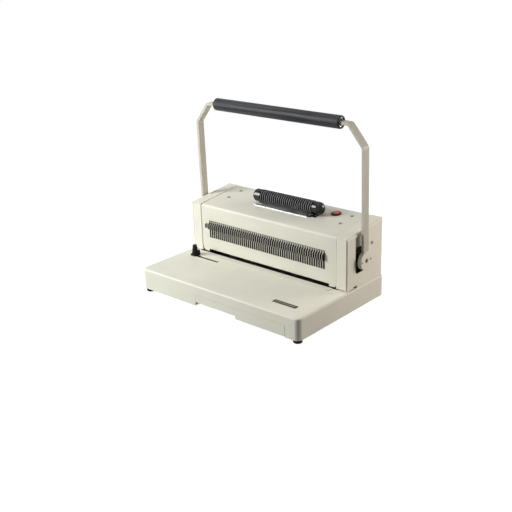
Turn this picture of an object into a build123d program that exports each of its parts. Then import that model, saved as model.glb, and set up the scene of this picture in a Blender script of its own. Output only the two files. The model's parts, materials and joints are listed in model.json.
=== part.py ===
"""Coil binding machine: a manual punch with pull-out pins and an electric coil roller.

Millimetres. X runs left to right, Y from the front to the back and Z up. The origin is
on the standing surface, under the middle of the base.
"""

import os
from math import atan, cos, degrees, pi, radians, sin

from build123d import *

os.makedirs("parts", exist_ok=True)

# Base
base_width = 462
base_depth = 305
base_height = 48
base_wall = 2
base_corner = 12
base_edge = 4
foot_height = 9
foot_radius = 10
foot_inset = 13
foot_round = 2.5
rear_foot_inset = 40
plate_thickness = 3

# Housing over the punch
base_ledge = 3
rear_ledge = 5.5
housing_depth = 129
housing_front_rise = 117.3
housing_rear_rise = 132
sheet = 1.5
roof_bend = 5
cap_width = 30
cap_tuck = 4
cap_proud = 1
cap_edge = 4
post_gap = 1.3
post_wall = 2
post_depth = 16
post_lift = 2
hem_rise = 13
hem_depth = 1.2
panel_corner = 9

# Fits
joint_gap = 0.5
slide_gap = 0.3
shaft_gap = 0.05
cut_over = 1

# Comb of punch pins
pin_pitch = 6.35
comb_end_room = 17
comb_shift = -3
pin_radius = 2
pin_hole_gap = 0.1
pin_setback = 22
slot_width = 4.9
slot_rise = 38
slot_height = 43

# Throat, dies and the frame that carries them
throat_gap = 7.5
throat_end_width = 12
die_thickness = 10
die_proud = 2
die_depth = 40
guide_thickness = 16.5
guide_depth = 24.5
guide_setback = 9
stop_room = 4
stop_depth = 4
margin = 4.5
frame_room = 30
frame_thickness = 8
frame_setback = 6.5
frame_depth = 110.5
frame_height = 153
frame_chamfer = 24
well_room = 7
well_rear_land = 9
tie_radius = 6
tie_neck_radius = 3
tie_places = ((66, 28), (96, 128))

# Handle
pivot_setback = 52.5
pivot_rise = 58
handle_reach = 291
handle_swing = 85
handle_lean = 1.2
shaft_radius = 10
arm_thickness = 6
arm_width = 18
arm_stand_off = 3.7
arm_bend_height = 246
arm_shoulder = 36.7
arm_bend_radius = 9
arm_tang_width = 14
arm_tang_length = 34
tang_shoulder_gap = 4.5
hub_radius = 20.5
hub_thickness = 9
hub_skin = 1
bolt_radius = 5
bolt_length = 10
bolt_socket_radius = 2.5
bolt_recess = 2.5
hub_screw_radius = 2.2
hub_screw_shank_radius = 1.1
hub_screw_spread = 31
hub_screw_proud = 0.8
arm_neck = 21.65
grip_radius = 14.2
tube_radius = 9.4
tube_wall = 1.4
tube_inset = 2
grip_edge = 2.5
grip_pin_radius = 1.4

# Cams on the handle's shaft
cam_base_radius = 10.8
cam_start = 1.2
cam_tail = 0.35
cam_nose = 0.1
cam_steps = 10
cam_hub_radius = 12.5
cam_thickness = 8
cam_gap = 1
bush_radius = 13
bush_flange = 1.5
bush_flange_width = 3

# Pressure bar
bar_room = 15
bar_setback = 9
bar_depth = 27
bar_rise = 51
bar_height = 38
bar_roof = 4.5
end_plate_thickness = 4
pad_thickness = 10
pad_reach = 13
guide_pin_radius = 3
guide_pin_drops = (9, 41)
guide_pin_inset = 5
pin_seat = 0.3

# Pull tabs of the punch pins
tab_thickness = 1.5
tab_tongue_rise = 67.2
tab_tongue_height = 7.6
tab_low = 60
tab_height = 19
tab_reach = 7.5
tab_bevel = 6.5
tongue_over = 2
tongue_gap = 0.3
tab_end_radius = 1

# Return springs
spring_radius = 5
spring_wire = 0.8
spring_turns = 6
spring_spread = 240
rail_depth = 12
rail_height = 5
rail_rise = 109
hook_seat = 0.3

# Coil roller
roller_setback = 73.5
roller_lift = 1.6
roller_radius = 15.25
rib_depth = 1.3
rib_count = 25
rib_foot_share = 0.18
rib_crest_share = 0.32
roller_room = 39
roller_length = 151
sleeve_bore = 12.05
core_radius = 12
core_wall = 1.2
end_left_length = 21.5
end_right_length = 23
end_radius = 14.8
end_round_left = 6
end_round_right = 12.5
end_foot_width = 9
end_foot_length = 8
end_foot_inset = 1.5
stub_radius = 4
stub_depth = 14
plug_length = 12
motor_radius = 9.5
motor_length = 78
motor_shaft_radius = 3
drive_hub_length = 10
drive_hub_gap = 4
toe_length = 12.5
toe_width = 10
toe_depth = 12
toe_height = 4
toe_reach = 2
toe_crest_depth = 4
web_height = 0.8

# Bright guide plate under the roller
guide_plate_setback = 52.5
guide_plate_over = 12
guide_plate_width = 151
guide_plate_sheet = 1.2
guide_lip_height = 2
guide_lip_depth = 1.5
guide_lip_over = 4
guide_plate_front = 9
guide_plate_rear = 27

# Push button
button_inset = 73
button_setback = 98.5
bezel_radius = 11.8
bezel_height = 2
button_radius = 6.8
button_height = 3.6
button_round = 1.6
button_travel = 2.5
switch_radius = 10.5
switch_depth = 24
button_stem_radius = 5
button_stem_length = 12

# Edge guide on the table
guide_standoff = 36.5
guide_inset = 41
guide_travel = 70
slot_end_room = 6
guide_slot_width = 8.5
guide_foot_width = 16
guide_foot_front = 8.5
guide_foot_back = 10.5
guide_foot_height = 4
guide_foot_round = 2
fence_width = 10
fence_depth = 3
fence_height = 9.5
knob_radius = 7.6
knob_top_radius = 5
knob_height = 22
knob_rim = 1.2
clamp_bolt_radius = 2.5
clamp_depth = 12
clamp_thickness = 4
clamp_key_round = 1.25
fence_round = 2.5

# Chip drawer
drawer_inset = 36.4
drawer_width = 252.6
drawer_front_height = 24.5
drawer_low = 1.3
drawer_gap = 0.5
drawer_end_gap = 1.2
drawer_sheet = 1.5
drawer_front_sheet = 2
drawer_reach = 225
drawer_right_room = 8.6
tray_floor_rise = 9.6
tray_wall_height = 14
notch_width = 117
notch_height = 7.3
runner_width = 8
runner_lip = 12
runner_sheet = 1.5

# Small parts
strip_depth = 22
strip_thickness = 0.7
strip_inset = 9
strip_round = 5.5
label_width = 62
label_depth = 11.5
label_thickness = 0.5
label_inset = 71
label_setback = 45
label_corner = 1.5
lug_width = 9
lug_height = 10
lug_reach = 5
lug_room = 8.5
lug_drop = 14
lug_round = 1.5
lug_groove = 1.6
lug_groove_spread = 3.4
lug_web = 1.5
screw_radius = 3.4
screw_head = 1.6
screw_shank_radius = 1.8
screw_shank = 6
roof_screw_inset = 34
roof_screw_setbacks = (60.5, 103.5)
side_screw_setback = 88.5
side_screw_rise = 87
spacer_radius = 5
bracket_sheet = 2
bracket_flange = 36
bracket_front = 46
bracket_length = 70
bracket_foot = 12
inlet_inset = 48
inlet_rise = 34
inlet_width = 28
inlet_height = 21
inlet_depth = 20
inlet_flange = 4
inlet_proud = 2.5
inlet_wall = 2
inlet_round = 2
inlet_blade_width = 2
inlet_blade_height = 4.5
inlet_blade_pitch = 7
supply_width = 90
supply_depth = 40
supply_height = 30
supply_inset = 65
supply_round = 2
supply_setback = 76
vent_count = 9
vent_pitch = 9
vent_bank_x = 75
vent_width = 3
vent_height = 30
vent_rise = 70
chute_sheet = 1
chute_height = 9
opening_front_reach = 25
opening_rear_reach = 18
opening_corner = 9
opening_drop = 26
opening_top_land = 4
throat_notch_depth = 34
throat_notch_height = 1.8
throat_notch_end = 13
throat_notch_end_height = 5.5

# Places worked out from the sizes
base_half = base_width / 2
base_front = -base_depth / 2
base_low = foot_height
table_z = foot_height + base_height
plate_top = base_low + plate_thickness
rear_y = base_depth / 2 - rear_ledge
panel_y = rear_y - housing_depth
roof_grade = (housing_rear_rise - housing_front_rise) / housing_depth
roof_angle = degrees(atan(roof_grade))
half_housing = base_half - base_ledge
cover_inner = half_housing - sheet
post_inner = half_housing - cap_width
post_outer = cover_inner - post_gap
panel_half = post_inner - joint_gap
post_front = panel_y - cap_proud
tuck_drop = max(0, sheet + slide_gap - cap_proud)
throat_top = table_z + throat_gap
pin_y = panel_y + pin_setback
frame_outer = half_housing - frame_room
frame_inner = frame_outer - frame_thickness
pin_count = int(2 * (frame_inner - comb_end_room) / pin_pitch)
first_pin = comb_shift - (pin_count - 1) * pin_pitch / 2
pin_places = [first_pin + i * pin_pitch for i in range(pin_count)]
slot_low = table_z + slot_rise
slot_top = slot_low + slot_height
throat_half = frame_inner - throat_end_width
frame_front = panel_y + frame_setback
die_front = panel_y - die_proud
frame_back = frame_front + frame_depth
frame_top = plate_top + frame_height
guide_low = throat_top + joint_gap
guide_top = guide_low + guide_thickness
guide_front = panel_y + guide_setback
pivot_y = panel_y + pivot_setback
pivot_z = table_z + pivot_rise
arm_inner = half_housing + arm_stand_off
arm_outer = arm_inner + arm_thickness
arm_middle = (arm_inner + arm_outer) / 2
hub_outer = arm_outer + hub_skin
hub_inner = hub_outer - hub_thickness
grip_z = pivot_z + handle_reach
arm_shoulder_x = arm_middle - arm_shoulder
grip_half = arm_shoulder_x - arm_neck
bar_half = frame_inner - bar_room
bar_front = panel_y + bar_setback
bar_back = bar_front + bar_depth
bar_low = table_z + bar_rise
bar_top = bar_low + bar_height
cam_inner = bar_half + end_plate_thickness + cam_gap
cam_outer = cam_inner + cam_thickness
pad_top = pivot_z - cam_base_radius * cam_start - slide_gap
contact_y = pivot_y - cam_base_radius
stroke = cam_base_radius * radians(handle_swing)
tongue_low = table_z + tab_tongue_rise
pin_top = tongue_low - tongue_gap
pin_low = guide_low + pin_seat
rail_low = table_z + rail_rise
spring_x = spring_spread / 2
spring_y = (bar_front + bar_back) / 2
roller_y = panel_y + roller_setback


def roof_z(y, down=0):
    """Height of the roof's outer face at y, or of a layer that far below it."""
    return table_z + housing_front_rise + (y - panel_y) * roof_grade - down


roller_z = roof_z(roller_y) + roller_lift + roller_radius
button_x = post_inner - button_inset
button_y = panel_y + button_setback
roller_right = button_x - roller_room
roller_left = roller_right - roller_length
drawer_right = base_half - drawer_inset
drawer_left = drawer_right - drawer_width
guide_x = guide_inset - base_half
guide_y = panel_y - guide_standoff
inlet_x = post_inner - inlet_inset
inlet_z = table_z + inlet_rise
roof_screw_x = post_inner - roof_screw_inset


def block(x0, x1, y0, y1, z0, z1):
    """Box between two corners."""
    middle = Pos((x0 + x1) / 2, (y0 + y1) / 2, (z0 + z1) / 2)
    return middle * Box(x1 - x0, y1 - y0, z1 - z0)


def rod_x(radius, x0, x1, y, z):
    """Round bar along X."""
    return Pos((x0 + x1) / 2, y, z) * Rot(0, 90, 0) * Cylinder(radius, x1 - x0)


def rod_z(radius, z0, z1, x, y):
    """Round bar along Z."""
    return Pos(x, y, (z0 + z1) / 2) * Cylinder(radius, z1 - z0)


def slab(points, x0, x1):
    """Outline of (y, z) points, run along X."""
    outline = Plane.YZ.offset(x0) * make_face(Polyline(*points, close=True))
    return extrude(outline, amount=x1 - x0, dir=(1, 0, 0))


def roof_frame(x, y, lift=0):
    """Place on the roof's outer face whose Z axis is the face's normal."""
    return Pos(x, y, roof_z(y)) * Rot(roof_angle, 0, 0) * Pos(0, 0, lift)


def both_sides(piece):
    """A right-hand piece and its mirror image on the left."""
    return [piece, mirror(piece, about=Plane.YZ)]


def lean(piece):
    """Tips a handle piece forward about the pivot, as it rests."""
    return Pos(0, pivot_y, pivot_z) * Rot(handle_lean, 0, 0) * Pos(0, -pivot_y, -pivot_z) * piece


def save(node, *pieces):
    """Writes one node, each piece a solid of its own."""
    solids = [solid for piece in pieces for solid in piece.solids()]
    shape = solids[0] if len(solids) == 1 else Compound(solids)
    export_step(shape, f"parts/{node}.step")


# Base


def base_cover():
    """Painted lid of the base: a rounded tray upside down."""
    outer = extrude(RectangleRounded(base_width, base_depth, base_corner), base_height)
    outer = fillet(outer.faces().sort_by(Axis.Z)[-1].edges(), base_edge)
    inner = extrude(
        RectangleRounded(
            base_width - 2 * base_wall, base_depth - 2 * base_wall, base_corner - base_wall
        ),
        base_height - base_wall,
    )
    inner = fillet(inner.faces().sort_by(Axis.Z)[-1].edges(), base_edge - base_wall)
    shell = Pos(0, 0, base_low) * (outer - inner)
    well_half = frame_outer + well_room
    well = block(
        -well_half,
        well_half,
        die_front - joint_gap,
        rear_y - well_rear_land,
        table_z - base_wall - cut_over,
        table_z + cut_over,
    )
    slot = block(
        guide_x - slot_end_room,
        guide_x + guide_travel + slot_end_room,
        guide_y - guide_slot_width / 2,
        guide_y + guide_slot_width / 2,
        table_z - base_wall - cut_over,
        table_z + cut_over,
    )
    mouth = block(
        drawer_left - drawer_gap,
        drawer_right + drawer_end_gap,
        base_front - cut_over,
        base_front + base_wall + cut_over,
        base_low - cut_over,
        base_low + drawer_low + drawer_front_height + drawer_gap,
    )
    return shell - [well, slot, mouth]


def base_plate():
    """Steel floor that carries the frame, the drawer's runners and the feet."""
    inset = base_wall + slide_gap
    sheet_metal = extrude(
        RectangleRounded(base_width - 2 * inset, base_depth - 2 * inset, base_corner - inset),
        plate_thickness,
    )
    notch = block(
        drawer_left - slide_gap,
        drawer_right + slide_gap,
        base_front,
        base_front + drawer_front_sheet + runner_lip,
        base_low - cut_over,
        plate_top + cut_over,
    )
    return Pos(0, 0, base_low) * sheet_metal - notch


def feet():
    """Four rubber feet under the steel floor."""
    foot = rod_z(foot_radius, 0, foot_height, 0, 0)
    foot = fillet(foot.edges().group_by(Axis.Z)[0], foot_round)
    places = []
    for side, inset in ((-1, foot_inset), (1, rear_foot_inset)):
        x = base_half - inset
        y = side * (base_depth / 2 - inset)
        places += [(-x, y), (x, y)]
    return [Pos(x, y, 0) * foot for x, y in places]


def table_strip():
    """Thin wear strip on the table in front of the throat."""
    half = post_inner - strip_inset
    back = die_front - joint_gap
    strip = block(-half, half, panel_y - strip_depth, back, table_z, table_z + strip_thickness)
    corners = strip.edges().filter_by(Axis.Z).group_by(Axis.Y)[0]
    return fillet(corners, strip_round)


def label_plate():
    """Blank plate at the front right of the table."""
    plate = extrude(RectangleRounded(label_width, label_depth, label_corner), label_thickness)
    return Pos(base_half - label_inset, base_front + label_setback, table_z) * plate


# Frame and dies


def frame_plate():
    """Right-hand steel side plate, bored for the shaft and slotted for the bar's guide pins."""
    shoulder = frame_back - frame_chamfer
    outline = [
        (frame_front, plate_top),
        (frame_back, plate_top),
        (frame_back, frame_top - frame_chamfer),
        (shoulder, frame_top),
        (frame_front, frame_top),
    ]
    plate = slab(outline, frame_inner, frame_outer)
    x0, x1 = frame_inner - cut_over, frame_outer + cut_over
    cuts = [rod_x(bush_radius, x0, x1, pivot_y, pivot_z)]
    half_slot = guide_pin_radius + slide_gap
    for y, z in guide_pin_places():
        top, low = z + slide_gap, z - stroke - slide_gap
        cuts += [rod_x(half_slot, x0, x1, y, top), rod_x(half_slot, x0, x1, y, low)]
        cuts.append(block(x0, x1, y - half_slot, y + half_slot, low, top))
    for setback, rise in tie_places:
        cuts.append(rod_x(tie_neck_radius, x0, x1, panel_y + setback, plate_top + rise))
    return plate - cuts


def guide_pin_places():
    """Centres of the bar's guide pins in Y and Z."""
    y = bar_front + guide_pin_inset
    return [(y, bar_top - drop) for drop in guide_pin_drops]


def tie_rods():
    """Two shouldered rods that hold the side plates apart."""
    rods = []
    for setback, rise in tie_places:
        y, z = panel_y + setback, plate_top + rise
        body = rod_x(tie_radius, -frame_inner, frame_inner, y, z)
        neck = rod_x(tie_neck_radius - shaft_gap, -frame_outer, frame_outer, y, z)
        rods.append(body + neck)
    return rods


def punched(piece, low, top):
    """Drills the comb's holes through a block."""
    radius = pin_radius + pin_hole_gap
    holes = [rod_z(radius, low - cut_over, top + cut_over, x, pin_y) for x in pin_places]
    return piece - holes


def die_block():
    """Lower die, flush with the table."""
    low = table_z - die_thickness
    steel = block(-frame_inner, frame_inner, die_front, die_front + die_depth, low, table_z)
    return punched(steel, low, table_z)


def guide_block():
    """Upper block that guides the pins, above the throat."""
    back = guide_front + guide_depth
    steel = block(-frame_inner, frame_inner, guide_front, back, guide_low, guide_top)
    return punched(steel, guide_low, guide_top)


def back_stop():
    """Bar that the paper's edge meets behind the pins."""
    half = throat_half - stop_room
    front = pin_y + margin
    return block(-half, half, front, front + stop_depth, table_z + slide_gap, guide_low)


def throat_ends():
    """Two blocks that close the throat beside the paper."""
    back = guide_front + guide_depth
    piece = block(throat_half, frame_inner, guide_front, back, table_z, guide_low)
    return both_sides(piece)


def chip_chute():
    """Sheet that leads the chips from the left-hand dies into the drawer."""
    left = -frame_inner + joint_gap
    right = drawer_left - joint_gap
    high = table_z - die_thickness - slide_gap
    low = high - chute_height
    points = [
        (left, high),
        (left, high - chute_sheet),
        (right, low - chute_sheet),
        (right, low),
    ]
    outline = Plane.XZ * make_face(Polyline(*points, close=True))
    ramp = extrude(outline, amount=die_depth, dir=(0, 1, 0))
    lip = block(left, left + chute_sheet, 0, die_depth, low, high)
    return Pos(0, die_front, 0) * (ramp + lip)


# Housing


def sheet_outline(drop):
    """Side view of the front panel and roof, offset inwards by drop."""
    rise = table_z + post_lift
    return [
        (panel_y + drop, rise),
        (panel_y + drop, roof_z(panel_y + drop, drop)),
        (rear_y, roof_z(rear_y, drop)),
        (rear_y + cut_over, rise),
    ]


def punch_cover():
    """Folded sheet: the slotted front panel, its bend and the sloping roof."""
    outer = slab(sheet_outline(0), -panel_half, panel_half)
    bend = outer.edges().filter_by(Axis.X).sort_by(Axis.Y)[:2].sort_by(Axis.Z)[-1]
    outer = fillet(bend, roof_bend)
    span = panel_half + cut_over
    inner = slab(sheet_outline(sheet), -span, span)
    bend = inner.edges().filter_by(Axis.X).sort_by(Axis.Y)[:2].sort_by(Axis.Z)[-1]
    inner = fillet(bend, roof_bend - sheet)
    low = table_z
    front = panel_y - cut_over
    back = block(-span, span, rear_y, rear_y + 2 * cut_over, low, roof_z(rear_y) + cut_over)
    below = block(-span, span, front, rear_y + cut_over, low - cut_over, low + post_lift)
    cover = outer - [inner, back, below]
    mouth = block(-throat_half, throat_half, front, panel_y + post_depth, low, throat_top)
    hem = block(-span, span, front, panel_y + hem_depth, low - cut_over, low + hem_rise)
    step = block(
        -panel_half,
        panel_half,
        panel_y + hem_depth,
        panel_y + hem_depth + sheet,
        low + post_lift,
        low + hem_rise + sheet,
    )
    cover = (cover - hem) + step + roof_tucks()
    cuts = [mouth]
    cuts += [
        block(
            x - slot_width / 2,
            x + slot_width / 2,
            front,
            panel_y + sheet + cut_over,
            slot_low,
            slot_top,
        )
        for x in pin_places
    ]
    drill = 2 * (sheet + cut_over)
    cuts.append(roof_frame(button_x, button_y) * Cylinder(switch_radius + slide_gap, drill))
    for place in roof_screw_places():
        cuts.append(roof_frame(*place) * Cylinder(screw_shank_radius, 2 * drill))
    cover = cover - cuts
    upright = cover.edges().filter_by(Axis.Y).group_by(Axis.Z)[0]
    ends = [edge for edge in upright if abs(edge.center().X) > throat_half + cut_over]
    return fillet(ends, panel_corner) if ends else cover


def roof_tucks():
    """Joggled edges of the roof sheet that lie under the two end caps."""
    front = panel_y + post_depth
    back = rear_y - sheet - joint_gap
    points = [
        (front, roof_z(front, tuck_drop)),
        (back, roof_z(back, tuck_drop)),
        (back, roof_z(back, tuck_drop + sheet)),
        (front, roof_z(front, tuck_drop + sheet)),
    ]
    return both_sides(slab(points, panel_half, post_inner + cap_tuck))


def roof_screw_places():
    """Centres of the four screws on the roof."""
    return [(sx * roof_screw_x, panel_y + s) for sx in (-1, 1) for s in roof_screw_setbacks]


def cap_outline(drop):
    """Side view of an end cap, offset inwards by drop."""
    front = post_front
    top = cap_proud - drop
    return [
        (front, table_z),
        (front, roof_z(front) + top),
        (rear_y - drop, roof_z(rear_y - drop) + top),
        (rear_y - drop, table_z),
    ]


def end_cap():
    """Right-hand side cover with its folded top and back and the opening for the shaft."""
    outer = slab(cap_outline(0), post_inner, half_housing)
    outer = fillet(cap_rim(outer), cap_edge)
    inner = slab(cap_outline(sheet), post_inner - cut_over, cover_inner)
    inner = fillet(cap_rim(inner), cap_edge - sheet)
    low = block(
        post_inner - cut_over,
        half_housing + cut_over,
        post_front - cut_over,
        rear_y + cut_over,
        table_z - cut_over,
        table_z,
    )
    front_relief = block(
        post_outer,
        half_housing + cut_over,
        post_front - cut_over,
        panel_y + cap_proud / 2,
        table_z - cut_over,
        roof_z(post_front) + cap_proud - cap_edge,
    )
    return outer - [inner, low, front_relief] - side_cuts()


def cap_rim(piece):
    """Top and back edges of a cap's outer face."""
    edges = piece.faces().sort_by(Axis.X)[-1].edges()
    raised = [edge for edge in edges if edge.center().Z > table_z + cap_edge]
    return [edge for edge in raised if edge.center().Y > pivot_y - cap_edge]


def side_cuts():
    """Opening round the shaft, throat notch and screw hole of the right-hand cover."""
    x0, x1 = cover_inner - cut_over, half_housing + cut_over
    front = pivot_y - opening_front_reach
    back = pivot_y + opening_rear_reach
    low = pivot_z - opening_drop
    opening = block(x0, x1, front, back, low, roof_z(front) - opening_top_land)
    opening = fillet(opening.edges().filter_by(Axis.X), opening_corner)
    end = panel_y + throat_notch_depth
    notch = block(x0, x1, post_front, end, table_z, table_z + throat_notch_height)
    mouth_top = table_z + throat_notch_end_height
    mouth = block(x0, x1, end - throat_notch_end, end, table_z, mouth_top)
    return [opening, notch, mouth, rod_x(screw_shank_radius, x0, x1, *side_screw_place())]


def side_screw_place():
    """Y and Z of the screw in a side cover."""
    return panel_y + side_screw_setback, table_z + side_screw_rise


def front_post():
    """Right-hand corner post beside the slotted panel."""
    back = post_front + post_depth
    top = cap_proud - sheet - joint_gap
    outline = [
        (post_front, table_z + post_lift),
        (post_front, roof_z(post_front) + top),
        (back, roof_z(back) + top),
        (back, table_z),
        (back - post_wall, table_z),
        (back - post_wall, table_z + post_lift),
    ]
    post = slab(outline, post_inner, post_outer)
    front_edges = post.edges().filter_by(Axis.Z).group_by(Axis.Y)[0]
    post = fillet(front_edges, post_wall)
    hollow = block(
        post_inner + post_wall,
        post_outer - post_wall,
        post_front + post_wall,
        back + cut_over,
        table_z + post_lift + post_wall,
        roof_z(post_front) - post_wall,
    )
    return post - hollow


def rear_cover():
    """Back wall between the end caps, with vents and the inlet's window."""
    half = panel_half
    outline = [
        (rear_y - sheet, table_z),
        (rear_y - sheet, roof_z(rear_y - sheet, sheet + slide_gap)),
        (rear_y, roof_z(rear_y, sheet + slide_gap)),
        (rear_y, table_z),
    ]
    wall = slab(outline, -half, half)
    window = block(
        inlet_x - inlet_width / 2 - slide_gap,
        inlet_x + inlet_width / 2 + slide_gap,
        rear_y - sheet - cut_over,
        rear_y + cut_over,
        inlet_z - inlet_height / 2 - slide_gap,
        inlet_z + inlet_height / 2 + slide_gap,
    )
    cuts = [window]
    for bank in (-1, 1):
        for i in range(vent_count):
            x = bank * vent_bank_x + (i - (vent_count - 1) / 2) * vent_pitch
            cuts.append(
                block(
                    x - vent_width / 2,
                    x + vent_width / 2,
                    rear_y - sheet - cut_over,
                    rear_y + cut_over,
                    table_z + vent_rise,
                    table_z + vent_rise + vent_height,
                )
            )
    return wall - cuts


def roof_bracket():
    """Right-hand angle from the side plate to the roof screws."""
    front = panel_y + bracket_front
    back = front + bracket_length
    under = sheet + slide_gap
    flange = slab(
        [
            (front, roof_z(front, under)),
            (back, roof_z(back, under)),
            (back, roof_z(back, under + bracket_sheet)),
            (front, roof_z(front, under + bracket_sheet)),
        ],
        frame_inner - bracket_flange,
        frame_inner,
    )
    shoulder = frame_back - frame_chamfer
    low = frame_top - bracket_foot
    leg = slab(
        [
            (front, roof_z(front, under)),
            (shoulder, roof_z(shoulder, under)),
            (shoulder, low),
            (front, low),
        ],
        frame_inner - bracket_sheet,
        frame_inner,
    )
    holes = [
        roof_frame(roof_screw_x, panel_y + setback) * Cylinder(screw_shank_radius, 2 * screw_shank)
        for setback in roof_screw_setbacks
    ]
    return (flange + leg) - holes


def screw(place):
    """Round-headed screw that stands on a place's Z axis."""
    head = Pos(0, 0, screw_head / 2) * Cylinder(screw_radius, screw_head)
    head = fillet(head.edges().sort_by(Axis.Z)[-1], screw_head / 2)
    shank = Pos(0, 0, -screw_shank / 2) * Cylinder(screw_shank_radius - shaft_gap, screw_shank)
    return place * (head + shank)


def cover_screws():
    """Screws of the roof and of the two side covers."""
    right = screw(Pos(half_housing, *side_screw_place()) * Rot(0, 90, 0))
    roof = [screw(roof_frame(*place)) for place in roof_screw_places()]
    return roof + both_sides(right)


def cover_spacers():
    """Posts between the frame and the side covers, threaded for the side screws."""
    place = side_screw_place()
    post = rod_x(spacer_radius, frame_outer, cover_inner, *place)
    end = cover_inner - screw_shank
    return both_sides(post - rod_x(screw_shank_radius, end, cover_inner + cut_over, *place))


def comb_lug():
    """Small end stop on the panel, left of the comb."""
    x = pin_places[0] - lug_room
    x0, x1 = x - lug_width / 2, x + lug_width / 2
    top = slot_top - lug_drop + lug_height / 2
    low = top - lug_height
    nose = panel_y - lug_reach
    body = block(x0, x1, nose, panel_y, low, top)
    body = fillet(body.edges().filter_by(Axis.Y).group_by(Axis.Z)[-1], lug_round)
    grooves = [
        block(
            x + side * lug_groove_spread / 2 - lug_groove / 2,
            x + side * lug_groove_spread / 2 + lug_groove / 2,
            nose - cut_over,
            panel_y - lug_web,
            low - cut_over,
            top + cut_over,
        )
        for side in (-1, 1)
    ]
    return body - grooves


# Chip drawer


def drawer_front():
    """Drawer's front, flush with the base, with the finger notch."""
    low = base_low + drawer_low
    back = base_front + drawer_front_sheet
    panel = block(drawer_left, drawer_right, base_front, back, low, low + drawer_front_height)
    notch = block(
        drawer_left - cut_over,
        drawer_left + notch_width,
        base_front - cut_over,
        back + cut_over,
        low - cut_over,
        low + notch_height,
    )
    return panel - notch


def tray_sides():
    """Left and right ends of the tray."""
    left = drawer_left + runner_sheet + 2 * slide_gap
    return left, frame_inner - drawer_right_room


def drawer_tray():
    """Open tray that catches the chips."""
    left, right = tray_sides()
    front = base_front + drawer_front_sheet
    floor = base_low + tray_floor_rise
    body = block(left, right, front, front + drawer_reach, floor, floor + tray_wall_height)
    inside = block(
        left + drawer_sheet,
        right - drawer_sheet,
        front + drawer_sheet,
        front + drawer_reach - drawer_sheet,
        floor + drawer_sheet,
        floor + tray_wall_height + cut_over,
    )
    return body - inside


def drawer_runners():
    """Two angle rails on the base plate under and beside the tray."""
    left, right = tray_sides()
    front = base_front + drawer_front_sheet + runner_lip
    back = base_front + drawer_reach
    rest = base_low + tray_floor_rise - slide_gap
    top = rest + runner_lip
    rails = []
    for edge, side in ((left, -1), (right, 1)):
        inner = edge - side * runner_width
        wall = edge + side * slide_gap
        outer = wall + side * runner_sheet
        foot = block(*sorted((inner, outer)), front, back, plate_top, rest)
        lip = block(*sorted((wall, outer)), front, back, plate_top, top)
        rails.append(foot + lip)
    return rails


# Edge guide


def edge_guide():
    """Sliding foot and fence that the sheets' left edge meets."""
    low = table_z + slide_gap
    top = low + guide_foot_height
    half = guide_foot_width / 2
    front = guide_y - guide_foot_front
    back = guide_y + guide_foot_back
    foot = block(guide_x - half, guide_x + half, front, back, low, top)
    foot = fillet(foot.edges().filter_by(Axis.Z), guide_foot_round)
    half = fence_width / 2
    fence_back = back + fence_depth
    fence = block(guide_x - half, guide_x + half, guide_y, fence_back, low, low + fence_height)
    fence = fence - rod_z(knob_radius + slide_gap, top, top + fence_height, guide_x, guide_y)
    fence = fillet(fence.edges().filter_by(Axis.Z).group_by(Axis.Y)[-1], fence_round)
    radius = clamp_bolt_radius + shaft_gap
    return (foot + fence) - rod_z(radius, low - cut_over, top + cut_over, guide_x, guide_y)


def guide_clamp():
    """Slide nut under the table, below the guide's foot."""
    half = guide_foot_width / 2
    top = table_z - base_wall - slide_gap
    low = top - clamp_thickness
    nut = block(guide_x - half, guide_x + half, guide_y - half, guide_y + half, low, top)
    reach = slot_end_room - slide_gap
    key = block(
        guide_x - reach,
        guide_x + reach,
        guide_y - guide_slot_width / 2 + slide_gap,
        guide_y + guide_slot_width / 2 - slide_gap,
        top,
        table_z,
    )
    key = fillet(key.edges().filter_by(Axis.Z), clamp_key_round)
    radius = clamp_bolt_radius + shaft_gap
    return nut + key - rod_z(radius, low - cut_over, table_z + cut_over, guide_x, guide_y)


def guide_knob():
    """Tapered clamping knob with its bolt."""
    low = table_z + slide_gap + guide_foot_height
    middle = low + shaft_gap + knob_height / 2
    body = Pos(guide_x, guide_y, middle) * Cone(knob_radius, knob_top_radius, knob_height)
    body = fillet(body.edges().sort_by(Axis.Z)[-1], knob_rim)
    bolt = rod_z(clamp_bolt_radius, low - clamp_depth, low + knob_rim, guide_x, guide_y)
    return body + bolt


# Handle


def arm():
    """Right-hand flat arm with its inward bend and the tang inside the grip."""
    bend = pivot_z + arm_bend_height
    tip = grip_half - arm_tang_length
    path = FilletPolyline(
        (arm_middle, pivot_y, pivot_z - arm_width / 2),
        (arm_middle, pivot_y, bend),
        (arm_shoulder_x, pivot_y, grip_z),
        (tip, pivot_y, grip_z),
        radius=arm_bend_radius,
    )
    start = Plane(origin=path @ 0, x_dir=(0, 1, 0), z_dir=path % 0)
    bar = sweep(start * Rectangle(arm_width, arm_thickness), path)
    narrow = grip_half + tang_shoulder_gap
    cuts = [
        block(
            tip - cut_over,
            narrow,
            *sorted((pivot_y + side * arm_tang_width / 2, pivot_y + side * arm_width)),
            grip_z - arm_width,
            grip_z + arm_width,
        )
        for side in (-1, 1)
    ]
    clearance = bolt_radius + shaft_gap
    hole = rod_x(clearance, arm_inner - cut_over, arm_outer + cut_over, pivot_y, pivot_z)
    return bar - cuts - hole


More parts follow.
